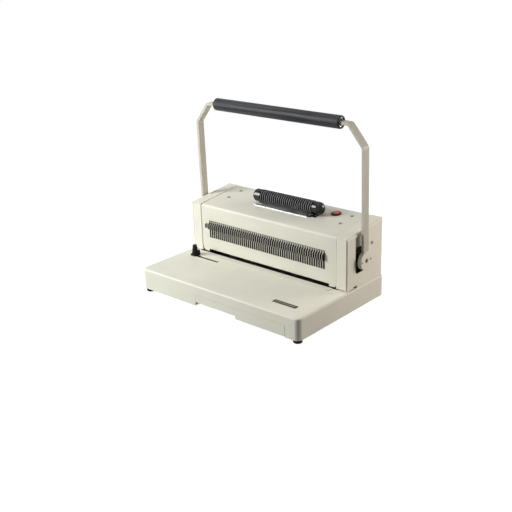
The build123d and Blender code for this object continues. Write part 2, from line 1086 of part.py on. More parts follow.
def hub():
    """Right-hand hub: a thick disc with a pocket for the arm and a recess for its bolt."""
    disc = rod_x(hub_radius, hub_inner, hub_outer, pivot_y, pivot_z)
    disc = fillet(disc.edges().filter_by(GeomType.CIRCLE).group_by(Axis.X)[-1], hub_skin)
    fit = arm_width / 2 + shaft_gap
    pocket = block(
        arm_inner - shaft_gap,
        arm_outer + shaft_gap,
        pivot_y - fit,
        pivot_y + fit,
        pivot_z - fit,
        pivot_z + hub_radius + cut_over,
    )
    x0, x1 = hub_inner - cut_over, hub_outer + cut_over
    bore = rod_x(bolt_radius + shaft_gap, x0, x1, pivot_y, pivot_z)
    holes = [
        rod_x(hub_screw_shank_radius + shaft_gap, hub_inner, x1, y, pivot_z)
        for y in hub_screw_places()
    ]
    return disc - [pocket, bore, *holes]


def hub_screw_places():
    """Y of the two small screws on a hub."""
    return [pivot_y - hub_screw_spread / 2, pivot_y + hub_screw_spread / 2]


def hub_bolt():
    """Right-hand bolt with its hexagon recess, through the hub and arm into the shaft."""
    inner = hub_inner - bolt_length
    outer = hub_outer - hub_skin
    body = rod_x(bolt_radius, inner, outer, pivot_y, pivot_z)
    socket = Pos(outer - bolt_recess, pivot_y, pivot_z) * Rot(0, 90, 0)
    socket = socket * extrude(RegularPolygon(bolt_socket_radius, 6), bolt_recess + cut_over)
    return body - socket


def hub_screws():
    """Two small screws on the face of the right-hand hub."""
    screws = []
    for y in hub_screw_places():
        head = rod_x(hub_screw_radius, hub_outer, hub_outer + hub_screw_proud, y, pivot_z)
        shank = rod_x(hub_screw_shank_radius, hub_inner + cut_over, hub_outer, y, pivot_z)
        screws.append(head + shank)
    return screws


def cross_shaft():
    """Shaft through both side plates, tapped at its ends for the hub bolts."""
    shaft = rod_x(shaft_radius, -hub_inner, hub_inner, pivot_y, pivot_z)
    x0, x1 = hub_inner - bolt_length, hub_inner + cut_over
    return shaft - both_sides(rod_x(bolt_radius + shaft_gap, x0, x1, pivot_y, pivot_z))


def shaft_bush():
    """Right-hand bearing bush in the side plate."""
    ring = rod_x(bush_radius, frame_inner, frame_outer, pivot_y, pivot_z)
    end = frame_outer + bush_flange_width
    flange = rod_x(bush_radius + bush_flange, frame_outer, end, pivot_y, pivot_z)
    x0, x1 = frame_inner - cut_over, end + cut_over
    return ring + flange - rod_x(shaft_radius + shaft_gap, x0, x1, pivot_y, pivot_z)


def involute(angle):
    """Point of the cam's working flank, for an angle on its base circle."""
    free = cam_base_radius * (pi + cam_start - angle)
    y = cam_base_radius * cos(angle) - free * sin(angle)
    z = cam_base_radius * sin(angle) + free * cos(angle)
    return pivot_y + y, pivot_z + z


def cam():
    """Right-hand cam whose flank lowers the pad evenly as the handle turns."""
    first = pi + cam_tail
    last = pi - radians(handle_swing) - cam_nose
    span = last - first
    flank = [involute(first + span * i / cam_steps) for i in range(cam_steps + 1)]
    crown = (pivot_y, pivot_z + cam_hub_radius)
    heel = (pivot_y, flank[0][1])
    edge = Spline(*flank)
    rest = Polyline(flank[-1], crown, heel, flank[0])
    outline = Plane.YZ.offset(cam_inner) * make_face(edge + rest)
    lobe = extrude(outline, amount=cam_thickness, dir=(1, 0, 0))
    boss = rod_x(cam_hub_radius, cam_inner, cam_outer, pivot_y, pivot_z)
    x0, x1 = cam_inner - cut_over, cam_outer + cut_over
    return lobe + boss - rod_x(shaft_radius + shaft_gap, x0, x1, pivot_y, pivot_z)


def grip_tube():
    """Steel tube of the grip."""
    half = grip_half - tube_inset
    end = half + cut_over
    tube = rod_x(tube_radius, -half, half, pivot_y, grip_z)
    return tube - rod_x(tube_radius - tube_wall, -end, end, pivot_y, grip_z)


def grip_foam():
    """Foam sleeve over the tube."""
    end = grip_half + cut_over
    foam = rod_x(grip_radius, -grip_half, grip_half, pivot_y, grip_z)
    foam = fillet(foam.edges().filter_by(GeomType.CIRCLE), grip_edge)
    return foam - rod_x(tube_radius + shaft_gap, -end, end, pivot_y, grip_z)


def grip_pins():
    """Pins that hold the arms' tangs in the tube."""
    x = grip_half - arm_tang_length / 2
    reach = tube_radius - tube_wall - slide_gap
    pin = rod_z(grip_pin_radius, grip_z + arm_thickness / 2, grip_z + reach, x, pivot_y)
    low = rod_z(grip_pin_radius, grip_z - reach, grip_z - arm_thickness / 2, x, pivot_y)
    return [piece for part in (pin, low) for piece in both_sides(part)]


# Pressure bar


def pressure_bar():
    """Bar that drives the pins, bored for them and slotted for their pull tabs."""
    bar = block(-bar_half, bar_half, bar_front, bar_back, bar_low, bar_top)
    radius = pin_radius + pin_hole_gap
    roof = bar_top - bar_roof
    holes = [rod_z(radius, bar_low - cut_over, roof, x, pin_y) for x in pin_places]
    half = tab_thickness / 2 + tongue_gap
    end = pin_y + tongue_over + tongue_gap
    low = tongue_low - tongue_gap
    top = tongue_low + tab_tongue_height + tongue_gap
    slots = [block(x - half, x + half, bar_front - cut_over, end, low, top) for x in pin_places]
    return bar - holes - slots


def end_plate():
    """Right-hand plate on the bar's end, with the pad under the cam and the guide pins."""
    shaft_side = pivot_y - shaft_radius - cam_gap
    pad_back = contact_y + pad_reach / 2
    pad_front = contact_y - pad_reach / 2
    pad_low = pad_top - pad_thickness
    foot = guide_top + stroke + cam_gap
    outline = [
        (bar_front, foot),
        (bar_front, bar_top),
        (shaft_side, bar_top),
        (shaft_side, pad_top),
        (pad_back, pad_top),
        (pad_back, pad_low),
        (pad_front, pad_low),
        (pad_front, foot),
    ]
    inner = bar_half
    outer = inner + end_plate_thickness
    plate = slab(outline, inner, outer)
    pad = block(outer, cam_outer, pad_front, pad_back, pad_low, pad_top)
    pins = [
        rod_x(guide_pin_radius, outer, frame_outer - cam_gap, y, z) for y, z in guide_pin_places()
    ]
    return plate + pad + pins


def punch_pins():
    """The comb of punch pins."""
    return [rod_z(pin_radius, pin_low, pin_top, x, pin_y) for x in pin_places]


def pull_tab(x):
    """Tab that locks one pin to the bar and stands out of the panel."""
    nose = panel_y - tab_reach
    low = table_z + tab_low
    top = low + tab_height
    shoulder = bar_front - cut_over
    tongue_top = tongue_low + tab_tongue_height
    tip = pin_y + tongue_over
    outline = [
        (tip, tongue_low),
        (tip, tongue_top),
        (shoulder, tongue_top),
        (shoulder - tab_end_radius, top),
        (panel_y, top),
        (nose, top - tab_bevel),
        (nose, low + tab_end_radius),
        (nose + tab_end_radius, low),
        (shoulder, low),
        (shoulder, tongue_low),
    ]
    return slab(outline, x - tab_thickness / 2, x + tab_thickness / 2)


def spring_rail():
    """Bar between the side plates that holds the return springs' upper ends."""
    y0, y1 = spring_y - rail_depth / 2, spring_y + rail_depth / 2
    return block(-frame_inner, frame_inner, y0, y1, rail_low, rail_low + rail_height)


def return_spring(x):
    """Tension spring between the bar and the rail."""
    low = bar_top + hook_seat
    height = rail_low - hook_seat - low - 2 * spring_wire
    coil = Helix(pitch=height / spring_turns, height=height, radius=spring_radius)
    start = Plane(origin=coil @ 0, z_dir=coil % 0)
    wire = sweep(start * Circle(spring_wire), coil)
    return Pos(x, spring_y, low + spring_wire) * wire


# Coil roller


def roller_sleeve():
    """Ribbed rubber sleeve."""
    pitch = roller_length / rib_count
    root = roller_radius - rib_depth
    points = [(roller_left + joint_gap, sleeve_bore)]
    for i in range(rib_count):
        x = roller_left + i * pitch
        foot = rib_foot_share * pitch
        crest = rib_crest_share * pitch
        points.append((x + foot, root))
        points.append((x + crest, roller_radius))
        points.append((x + pitch - crest, roller_radius))
        points.append((x + pitch - foot, root))
    points.append((roller_right - joint_gap, sleeve_bore))
    points.insert(1, (roller_left + joint_gap, root))
    points.insert(-1, (roller_right - joint_gap, root))
    half_section = make_face(Polyline(*points, close=True))
    return Pos(0, roller_y, roller_z) * revolve(half_section, axis=Axis.X)


def roller_core():
    """Tube inside the rubber, with the plug that turns on the left stub."""
    left = roller_left + joint_gap
    right = roller_right - joint_gap
    tube = rod_x(core_radius, left, right, roller_y, roller_z)
    plug = left + plug_length
    bore = rod_x(core_radius - core_wall, plug, right + cut_over, roller_y, roller_z)
    seat = rod_x(stub_radius + shaft_gap, left - cut_over, plug + cut_over, roller_y, roller_z)
    return tube - [bore, seat]


def motor_face():
    """X of the motor's output end."""
    return roller_right + joint_gap - motor_length


def roller_motor():
    """Slim motor inside the roller, held by the right-hand end."""
    left = motor_face()
    can = rod_x(motor_radius, left, roller_right + joint_gap, roller_y, roller_z)
    end = left + drive_hub_length
    radius = motor_shaft_radius + shaft_gap
    return can - rod_x(radius, left - cut_over, end, roller_y, roller_z)


def drive_hub():
    """Motor shaft and the hub that turns the roller's tube."""
    face = motor_face()
    right = face - drive_hub_gap
    left = right - drive_hub_length
    disc = rod_x(core_radius - core_wall - shaft_gap, left, right, roller_y, roller_z)
    end = face + drive_hub_length / 2
    return disc + rod_x(motor_shaft_radius, right, end, roller_y, roller_z)


def roller_end(x0, x1, inner, rounding):
    """Smooth round end of the roller, x0 to x1, with its foot on the roof near its inner face."""
    drum = rod_x(end_radius, x0, x1, roller_y, roller_z)
    rims = drum.edges().filter_by(GeomType.CIRCLE).sort_by(Axis.X)
    drum = fillet(rims[0] if inner == x1 else rims[-1], rounding)
    front = roller_y - end_foot_width / 2
    back = roller_y + end_foot_width / 2
    outward = -1 if inner == x1 else 1
    near = inner + outward * end_foot_inset
    far = near + outward * end_foot_length
    foot = slab(
        [(front, roof_z(front)), (front, roller_z), (back, roller_z), (back, roof_z(back))],
        *sorted((near, far)),
    )
    return drum + foot


def roller_end_left():
    """Left end with the stub that the roller turns on."""
    x1 = roller_left - slide_gap
    end = roller_end(x1 - end_left_length, x1, x1, end_round_left)
    return end + rod_x(stub_radius, x1 - cut_over, x1 + stub_depth, roller_y, roller_z)


def roller_end_right():
    """Right end that holds the motor, with the toe under the roller."""
    x0 = roller_right + joint_gap
    end = roller_end(x0, x0 + end_right_length, x0, end_round_right)
    front = roller_y - end_radius - toe_reach
    back = front + toe_depth
    crest = front + toe_crest_depth
    toe = slab(
        [
            (front, roof_z(front)),
            (front, roof_z(front) + toe_height),
            (crest, roof_z(front) + toe_height),
            (back, roof_z(back) + web_height),
            (back, roof_z(back)),
        ],
        x0 - toe_length,
        x0 - toe_length + toe_width,
    )
    rib = slab(
        [
            (crest, roof_z(crest)),
            (crest, roof_z(crest) + web_height),
            (roller_y, roof_z(roller_y) + web_height),
            (roller_y, roof_z(roller_y)),
        ],
        x0 - toe_length,
        x0 + end_foot_inset + end_foot_length,
    )
    return end + toe + rib


def guide_plate():
    """Polished plate with a raised front lip, on the roof under the roller."""
    left = roller_left - guide_plate_over
    right = left + guide_plate_width
    front = panel_y + guide_plate_setback
    middle = front + guide_plate_front
    back = middle + guide_plate_rear

    def layer(y0, y1, height, x0, x1):
        return slab(
            [
                (y0, roof_z(y0)),
                (y0, roof_z(y0) + height),
                (y1, roof_z(y1) + height),
                (y1, roof_z(y1)),
            ],
            x0,
            x1,
        )

    room = end_foot_inset
    plate = layer(front, middle, guide_plate_sheet, left, right - guide_lip_depth)
    lip_right = right + guide_lip_over
    lip = layer(front, front + guide_lip_depth, guide_lip_height, left, lip_right)
    right = roller_right - toe_length - room
    under = layer(middle, back, guide_plate_sheet, roller_left + room, right)
    return plate + lip + under


# Switch and power


def button_bezel():
    """Bezel and switch body in the roof."""
    ring = Cylinder(bezel_radius, bezel_height, align=(Align.CENTER, Align.CENTER, Align.MIN))
    ring = fillet(ring.edges().sort_by(Axis.Z)[-1], bezel_height / 2)
    body = Cylinder(switch_radius, switch_depth, align=(Align.CENTER, Align.CENTER, Align.MAX))
    well = Pos(0, 0, -button_travel - sheet) * Cylinder(
        button_radius + slide_gap,
        bezel_height + button_travel + sheet + cut_over,
        align=(Align.CENTER, Align.CENTER, Align.MIN),
    )
    bore = Pos(0, 0, cut_over - switch_depth) * Cylinder(
        button_stem_radius + slide_gap,
        switch_depth,
        align=(Align.CENTER, Align.CENTER, Align.MIN),
    )
    return roof_frame(button_x, button_y) * (ring + body - [well, bore])


def button_cap():
    """Red cap with its stem in the switch body."""
    cap = Cylinder(button_radius, button_height, align=(Align.CENTER, Align.CENTER, Align.MIN))
    cap = fillet(cap.edges().sort_by(Axis.Z)[-1], button_round)
    stem = Cylinder(
        button_stem_radius, button_stem_length, align=(Align.CENTER, Align.CENTER, Align.MAX)
    )
    return roof_frame(button_x, button_y) * (cap + stem)


def power_inlet():
    """Appliance inlet in the back wall, with its three blades."""
    front, face = rear_y - inlet_depth, rear_y + inlet_proud
    body = inlet_block(0, front, face)
    flange = inlet_block(inlet_flange, rear_y, face)
    flange = fillet(flange.edges().filter_by(Axis.Y), inlet_round)
    return body + flange - inlet_block(-inlet_wall, front + inlet_wall, face + cut_over)


def inlet_block(grow, y0, y1):
    """Box round the inlet's centre line, grown by so much on all four sides."""
    half_x = inlet_width / 2 + grow
    half_z = inlet_height / 2 + grow
    return block(inlet_x - half_x, inlet_x + half_x, y0, y1, inlet_z - half_z, inlet_z + half_z)


def inlet_blades():
    """Three blades in the inlet."""
    half = inlet_blade_width / 2
    y0, y1 = rear_y - inlet_depth + inlet_wall, rear_y - inlet_wall
    z0, z1 = inlet_z - inlet_blade_height / 2, inlet_z + inlet_blade_height / 2
    places = [inlet_x + i * inlet_blade_pitch for i in (-1, 0, 1)]
    return [block(x - half, x + half, y0, y1, z0, z1) for x in places]


def power_supply():
    """Boxed supply for the motor, on the base plate."""
    front = panel_y + supply_setback
    x = supply_inset - frame_inner
    x0, x1 = x - supply_width / 2, x + supply_width / 2
    top = plate_top + supply_height
    box = block(x0, x1, front, front + supply_depth, plate_top, top)
    return fillet(box.edges().filter_by(Axis.Z), supply_round)


def main():
    """Writes every node."""
    save("base_cover", base_cover())
    save("base_plate", base_plate())
    save("rubber_feet", *feet())
    save("table_strip", table_strip())
    save("label_plate", label_plate())
    save("frame_plates", *both_sides(frame_plate()))
    save("tie_rods", *tie_rods())
    save("die_block", die_block())
    save("pin_guide_block", guide_block())
    save("back_stop", back_stop())
    save("throat_ends", *throat_ends())
    save("chip_chute", chip_chute())
    save("punch_cover", punch_cover())
    right_cap, left_cap = both_sides(end_cap())
    save("end_cap_right", right_cap)
    save("end_cap_left", left_cap)
    save("front_posts", *both_sides(front_post()))
    save("rear_cover", rear_cover())
    save("roof_brackets", *both_sides(roof_bracket()))
    save("cover_screws", *cover_screws())
    save("cover_spacers", *cover_spacers())
    save("comb_lug", comb_lug())
    save("drawer_front", drawer_front())
    save("drawer_tray", drawer_tray())
    save("drawer_runners", *drawer_runners())
    save("edge_guide", edge_guide())
    save("guide_clamp", guide_clamp())
    save("guide_knob", guide_knob())
    right_arm, left_arm = both_sides(arm())
    save("handle_arm_right", lean(right_arm))
    save("handle_arm_left", lean(left_arm))
    save("handle_hubs", *[lean(piece) for piece in both_sides(hub())])
    save("hub_bolts", *both_sides(hub_bolt()))
    save("hub_screws", *[lean(piece) for one in hub_screws() for piece in both_sides(one)])
    save("cross_shaft", cross_shaft())
    save("shaft_bushes", *both_sides(shaft_bush()))
    save("cams", *both_sides(cam()))
    save("grip_tube", lean(grip_tube()))
    save("grip_foam", lean(grip_foam()))
    save("grip_pins", *[lean(piece) for piece in grip_pins()])
    save("pressure_bar", pressure_bar())
    save("bar_end_plates", *both_sides(end_plate()))
    save("punch_pins", *punch_pins())
    save("pull_tabs", *[pull_tab(x) for x in pin_places[1:-1]])
    save("end_pull_tab_left", pull_tab(pin_places[0]))
    save("end_pull_tab_right", pull_tab(pin_places[-1]))
    save("spring_rail", spring_rail())
    save("return_springs", return_spring(-spring_x), return_spring(spring_x))
    save("roller_sleeve", roller_sleeve())
    save("roller_core", roller_core())
    save("roller_drive_hub", drive_hub())
    save("roller_motor", roller_motor())
    save("roller_end_left", roller_end_left())
    save("roller_end_right", roller_end_right())
    save("coil_guide_plate", guide_plate())
    save("button_bezel", button_bezel())
    save("button_cap", button_cap())
    save("power_inlet", power_inlet())
    save("inlet_blades", *inlet_blades())
    save("power_supply", power_supply())


main()
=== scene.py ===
"""Looks of the coil binding machine: materials, small pieces, light and camera."""

import json
from math import cos, pi, radians, sin

import bmesh
import bpy
from mathutils import Matrix, Vector


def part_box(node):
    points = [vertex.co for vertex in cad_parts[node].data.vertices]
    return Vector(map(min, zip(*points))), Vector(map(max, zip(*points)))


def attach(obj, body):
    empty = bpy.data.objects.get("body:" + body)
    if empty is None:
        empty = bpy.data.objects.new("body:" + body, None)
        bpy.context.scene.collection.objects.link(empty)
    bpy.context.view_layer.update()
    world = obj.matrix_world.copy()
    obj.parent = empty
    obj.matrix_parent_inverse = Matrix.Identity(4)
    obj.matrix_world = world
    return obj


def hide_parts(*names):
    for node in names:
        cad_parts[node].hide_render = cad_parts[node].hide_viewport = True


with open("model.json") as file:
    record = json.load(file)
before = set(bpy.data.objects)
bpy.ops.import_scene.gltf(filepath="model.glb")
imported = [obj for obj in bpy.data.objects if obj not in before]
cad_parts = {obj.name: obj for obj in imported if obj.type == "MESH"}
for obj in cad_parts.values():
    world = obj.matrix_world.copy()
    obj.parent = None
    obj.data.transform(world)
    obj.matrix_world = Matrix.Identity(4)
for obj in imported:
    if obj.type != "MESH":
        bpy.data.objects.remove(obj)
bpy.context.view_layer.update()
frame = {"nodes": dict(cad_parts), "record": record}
MM = 0.001

# Colours, linear
CREAM = (0.755, 0.73, 0.635)
# Cream made lighter for the end caps: painted light on the housing's sides
CREAM_LIT_CAP = (0.80, 0.765, 0.66)
# Cream darkened for the arms: painted shade
CREAM_SHADED_ARM = (0.53, 0.505, 0.43)
# Cream made lighter for the hubs: painted light on the housing's sides
CREAM_LIT_HUB = (0.80, 0.765, 0.635)
STRIP_SHARE = 0.97
# Near-black for the panel's punched edges: painted shade in the slots
SLOT_SHADE_EDGE = (0.02, 0.017, 0.013)
FRAME_PAINT = (0.50, 0.46, 0.37)
BLACK = (0.007, 0.007, 0.008)
GLOSS_BLACK_SHARE = 0.4
# Grey for the rib crests: painted highlight
CREST_HIGHLIGHT = (0.32, 0.32, 0.33)
FOAM = (0.048, 0.047, 0.054)
RED = (0.70, 0.03, 0.028)
DARK_RED = (0.04, 0.002, 0.002)
STEEL = (0.62, 0.62, 0.61)
# Near-black steel: dark steel, darkened further as painted shade in the throat and behind the
# slots
DARK_STEEL_AND_SHADE = (0.035, 0.034, 0.032)
# Near-black for the tabs' sides: painted shade between the tabs
TAB_SIDE_SHADE = (0.025, 0.023, 0.02)
SCREW_STEEL = (0.20, 0.19, 0.18)
TAB_STEEL = (0.40, 0.385, 0.345)
BRIGHT = (0.88, 0.88, 0.88)
BRONZE = (0.62, 0.44, 0.22)
ALUMINIUM = (0.7, 0.7, 0.72)
LABEL = (0.19, 0.178, 0.145)
LABEL_EDGE = (0.006, 0.0055, 0.005)

# Scales of the textures, in details for each metre
PAINT_CLOUDS = 14
PAINT_SMEARS = 60
PAINT_POWDER = 1500
RUBBER_MOTTLE = 90
RUBBER_SMEARS = 220
RUBBER_GRAIN = 1400
RIB_HIGHLIGHT_BREAKUP = 140
RIB_GRAIN = 1600
FOAM_CELLS = 1100
FOAM_HIGHLIGHT_STREAKS = 170
PLASTIC_MOTTLE = 70
PLASTIC_SMEARS = 180
PLASTIC_GRAIN = 2200
PLATE_MOTTLE = 45
METAL_LINES = 900
METAL_SMEARS = 45

# Depths of the finest relief
BUMP = 0.2 * MM
FINE_BUMP = 0.1 * MM

# How far a texture is drawn out along each axis
LINES_ALONG_X = (0.05, 1, 1)
LONG_LINES_ALONG_X = (0.04, 1, 1)
LINES_ALONG_Z = (1, 1, 0.06)
NO_LINES = (1, 1, 1)


class Nodes:
    """Short hand for building one material's node tree."""

    def __init__(self, name, rough, metallic=0.0, specular=0.5):
        self.material = bpy.data.materials.new(name)
        self.material.use_nodes = True
        self.tree = self.material.node_tree
        self.shader = self.tree.nodes["Principled BSDF"]
        self.shader.inputs["Metallic"].default_value = metallic
        self.shader.inputs["Specular IOR Level"].default_value = specular
        self.shader.inputs["Roughness"].default_value = rough
        self.place = self.add("ShaderNodeTexCoord").outputs["Object"]

    def add(self, kind, **values):
        node = self.tree.nodes.new(kind)
        for key, value in values.items():
            setattr(node, key, value)
        return node

    def link(self, output, target):
        self.tree.links.new(output, target)

    def math(self, operation, *values):
        """Result of a maths node; each value is a number or another output."""
        node = self.add("ShaderNodeMath", operation=operation)
        for i, value in enumerate(values):
            if isinstance(value, float):
                node.inputs[i].default_value = value
            else:
                self.link(value, node.inputs[i])
        return node.outputs[0]

    def axes(self, vector):
        node = self.add("ShaderNodeSeparateXYZ")
        self.link(vector, node.inputs["Vector"])
        return node.outputs

    def stretched(self, scale):
        node = self.add("ShaderNodeMapping")
        node.inputs["Scale"].default_value = scale
        self.link(self.place, node.inputs["Vector"])
        return node.outputs["Vector"]

    def noise(self, scale, detail=3.0, vector=None):
        node = self.add("ShaderNodeTexNoise")
        node.inputs["Scale"].default_value = scale
        node.inputs["Detail"].default_value = detail
        self.link(vector or self.place, node.inputs["Vector"])
        return node.outputs["Fac"]

    def span(self, value, low, high, from_low=0.3, from_high=0.7):
        """Maps a value to a range; a noise lies mostly between 0.3 and 0.7."""
        node = self.add("ShaderNodeMapRange")
        node.inputs["From Min"].default_value = from_low
        node.inputs["From Max"].default_value = from_high
        node.inputs["To Min"].default_value = low
        node.inputs["To Max"].default_value = high
        self.link(value, node.inputs["Value"])
        return node.outputs["Result"]

    def blend(self, factor, first, second):
        """Goes from one plain colour to another as the factor goes from 0 to 1."""
        node = self.add("ShaderNodeMix", data_type="RGBA")
        node.inputs["A"].default_value = (*first, 1)
        node.inputs["B"].default_value = (*second, 1)
        self.link(factor, node.inputs["Factor"])
        return node.outputs["Result"]

    def mottled(self, noise, colour, low, high):
        """The colour from a darker to a lighter share of itself, by a noise."""
        return self.blend(self.span(noise, 0.0, 1.0), shade(colour, low), shade(colour, high))

    def over(self, under, factor, colour):
        """Lays a plain colour over another output where the factor is 1."""
        node = self.add("ShaderNodeMix", data_type="RGBA")
        node.inputs["B"].default_value = (*colour, 1)
        self.link(under, node.inputs["A"])
        self.link(factor, node.inputs["Factor"])
        return node.outputs["Result"]

    def facing_x(self):
        """1 on faces that look left or right, 0 on the others."""
        normal = self.axes(self.add("ShaderNodeTexCoord").outputs["Normal"])
        return self.span(self.math("ABSOLUTE", normal["X"]), 0.0, 1.0, 0.5, 0.8)

    def bump(self, height, strength, distance):
        node = self.add("ShaderNodeBump")
        node.inputs["Strength"].default_value = strength
        node.inputs["Distance"].default_value = distance
        self.link(height, node.inputs["Height"])
        self.link(node.outputs["Normal"], self.shader.inputs["Normal"])

    def colour(self, output):
        self.link(output, self.shader.inputs["Base Color"])

    def roughness(self, noise, low, high):
        """Roughness that wanders between two values with a noise."""
        self.link(self.span(noise, low, high), self.shader.inputs["Roughness"])


def shade(colour, factor):
    return tuple(channel * factor for channel in colour)


def paint(name, colour, slot_shade=None):
    """Powder coat with a fine skin and faint clouding.

    A near-black colour goes on the sheet's punched edges that look left or right, as painted
    shade that makes the slots read dark.
    """
    nodes = Nodes(name, 0.42, specular=0.28)
    coat = nodes.mottled(nodes.noise(PAINT_CLOUDS, 4), colour, 0.965, 1.03)
    # Punched edges that look left or right get the near-black painted shade
    nodes.colour(nodes.over(coat, nodes.facing_x(), slot_shade) if slot_shade else coat)
    nodes.roughness(nodes.noise(PAINT_SMEARS), 0.38, 0.52)
    nodes.bump(nodes.noise(PAINT_POWDER, 2), 0.10, BUMP)
    return nodes.material


def rubber(name, colour, rough, specular):
    nodes = Nodes(name, rough, specular=specular)
    nodes.colour(nodes.mottled(nodes.noise(RUBBER_MOTTLE, 4), colour, 0.8, 1.35))
    nodes.roughness(nodes.noise(RUBBER_SMEARS), rough - 0.07, rough + 0.09)
    nodes.bump(nodes.noise(RUBBER_GRAIN), 0.3, BUMP)
    return nodes.material


def foam(name, colour):
    """Closed-cell foam: small pits, a skin that shines a little, and lighter streaks along the
    tube painted in as highlight lines.
    """
    nodes = Nodes(name, 0.45, specular=0.10)
    cells = nodes.add("ShaderNodeTexVoronoi")
    cells.inputs["Scale"].default_value = FOAM_CELLS
    nodes.link(nodes.place, cells.inputs["Vector"])
    highlight_streaks = nodes.noise(FOAM_HIGHLIGHT_STREAKS, 3, nodes.stretched(LONG_LINES_ALONG_X))
    # Lighter streaks along the grip: painted highlight lines
    nodes.colour(nodes.mottled(highlight_streaks, colour, 0.45, 1.6))
    nodes.roughness(highlight_streaks, 0.50, 0.34)
    nodes.bump(cells.outputs["Distance"], 0.2, BUMP)
    return nodes.material


def plastic(name, colour, rough, specular):
    nodes = Nodes(name, rough, specular=specular)
    nodes.colour(nodes.mottled(nodes.noise(PLASTIC_MOTTLE), colour, 0.88, 1.14))
    nodes.roughness(nodes.noise(PLASTIC_SMEARS), rough - 0.04, rough + 0.06)
    nodes.bump(nodes.noise(PLASTIC_GRAIN, 2), 0.06, BUMP)
    return nodes.material


def ribbed_rubber(name, centre, highlight_start, highlight_end):
    """Black rubber with grey on the crests of its rings as a painted highlight, broken up by a
    noise.

    The rings lie round the X axis through the centre, and the painted highlight is given by
    radius.
    """
    nodes = Nodes(name, 0.4, specular=0.05)
    shifted = nodes.add("ShaderNodeMapping")
    shifted.inputs["Location"].default_value = -centre
    nodes.link(nodes.place, shifted.inputs["Vector"])
    flat = nodes.add("ShaderNodeVectorMath", operation="MULTIPLY")
    flat.inputs[1].default_value = (0, 1, 1)
    nodes.link(shifted.outputs["Vector"], flat.inputs[0])
    reach = nodes.add("ShaderNodeVectorMath", operation="LENGTH")
    nodes.link(flat.outputs["Vector"], reach.inputs[0])
    crest = nodes.span(reach.outputs["Value"], 0.0, 1.0, highlight_start, highlight_end)
    highlight_breakup = nodes.span(nodes.noise(RIB_HIGHLIGHT_BREAKUP), 0.6, 1.0)
    # Grey painted highlight on the rib crests, broken up by a noise
    nodes.colour(nodes.blend(nodes.math("MULTIPLY", crest, highlight_breakup), BLACK, CREST_HIGHLIGHT))
    nodes.roughness(nodes.noise(RUBBER_SMEARS), 0.34, 0.5)
    nodes.bump(nodes.noise(RIB_GRAIN), 0.2, FINE_BUMP)
    return nodes.material


def punched_tab(name):
    """Steel tabs with bright fronts, whose sides that look left or right are painted near-black
    as shade.
    """
    nodes = Nodes(name, 0.36, metallic=1.0)
    grain = nodes.noise(METAL_LINES, 3, nodes.stretched(LINES_ALONG_Z))
    ground = nodes.mottled(grain, TAB_STEEL, 0.88, 1.0)
    # Sides that look left or right get the near-black painted shade
    nodes.colour(nodes.over(ground, nodes.facing_x(), TAB_SIDE_SHADE))
    nodes.roughness(nodes.noise(PAINT_SMEARS), 0.34, 0.5)
    nodes.bump(grain, 0.06, FINE_BUMP)
    return nodes.material


def bordered_plate(name, field_share, blur=0.01):
    """Blank plate: a dark rim round a plain field, by the plate's own box.

    The field's share is half of its width and depth in those of the box.
    """
    nodes = Nodes(name, 0.42, specular=0.2)
    box = nodes.axes(nodes.add("ShaderNodeTexCoord").outputs["Generated"])
    rims = []
    for axis, share in zip("XY", field_share):
        offset = nodes.math("ABSOLUTE", nodes.math("SUBTRACT", box[axis], 0.5))
        rims.append(nodes.span(offset, 0.0, 1.0, share - blur, share + blur))
    field = nodes.mottled(nodes.noise(PLATE_MOTTLE), LABEL, 0.9, 1.12)
    nodes.colour(nodes.over(field, nodes.math("MAXIMUM", *rims), LABEL_EDGE))
    nodes.roughness(nodes.noise(PLASTIC_SMEARS), 0.38, 0.5)
    nodes.bump(nodes.noise(PLASTIC_GRAIN, 2), 0.06, BUMP)
    return nodes.material


def metal(name, colour, rough, along=NO_LINES, strength=0.06):
    """Bare metal with fine lines that run along the axis of least scale."""
    nodes = Nodes(name, rough, metallic=1.0)
    lines = nodes.noise(METAL_LINES, 3, nodes.stretched(along))
    nodes.colour(nodes.mottled(lines, colour, 0.86, 1.06))
    nodes.roughness(nodes.noise(METAL_SMEARS, 4), rough - 0.05, rough + 0.10)
    nodes.bump(lines, strength, FINE_BUMP)
    return nodes.material


LOOKS = {
    "cover_paint": paint("cover_paint_look", CREAM),
    "panel_paint": paint("panel_paint_look", CREAM, SLOT_SHADE_EDGE),
    "cap_paint": paint("cap_paint_look", CREAM_LIT_CAP),
    "arm_paint": paint("arm_paint_look", CREAM_SHADED_ARM),
    "hub_paint": paint("hub_paint_look", CREAM_LIT_HUB),
    "frame_paint": paint("frame_paint_look", FRAME_PAINT),
    "strip_paint": paint("strip_paint_look", shade(CREAM, STRIP_SHARE)),
    "label_blank": bordered_plate("label_blank_look", (0.445, 0.25)),
    "black_rubber": rubber("black_rubber_look", BLACK, 0.42, 0.12),
    "foam": foam("foam_look", FOAM),
    "black_plastic": plastic("black_plastic_look", BLACK, 0.38, 0.2),
    "roller_gloss": plastic("roller_gloss_look", shade(BLACK, GLOSS_BLACK_SHARE), 0.07, 0.38),
    "bezel_gloss": plastic("bezel_gloss_look", DARK_RED, 0.4, 0.1),
    "red_plastic": plastic("red_plastic_look", RED, 0.24, 0.45),
    "zinc_steel": metal("zinc_steel_look", STEEL, 0.36, LINES_ALONG_X),
    "tool_steel": metal("tool_steel_look", DARK_STEEL_AND_SHADE, 0.34, LINES_ALONG_X),
    "screw_steel": metal("screw_steel_look", SCREW_STEEL, 0.34),
    "tab_steel": punched_tab("tab_steel_look"),
    "bright_steel": metal("bright_steel_look", BRIGHT, 0.34, LONG_LINES_ALONG_X, 0.03),
    "bronze": metal("bronze_look", BRONZE, 0.32),
    "aluminium": metal("aluminium_look", ALUMINIUM, 0.35, LONG_LINES_ALONG_X),
}

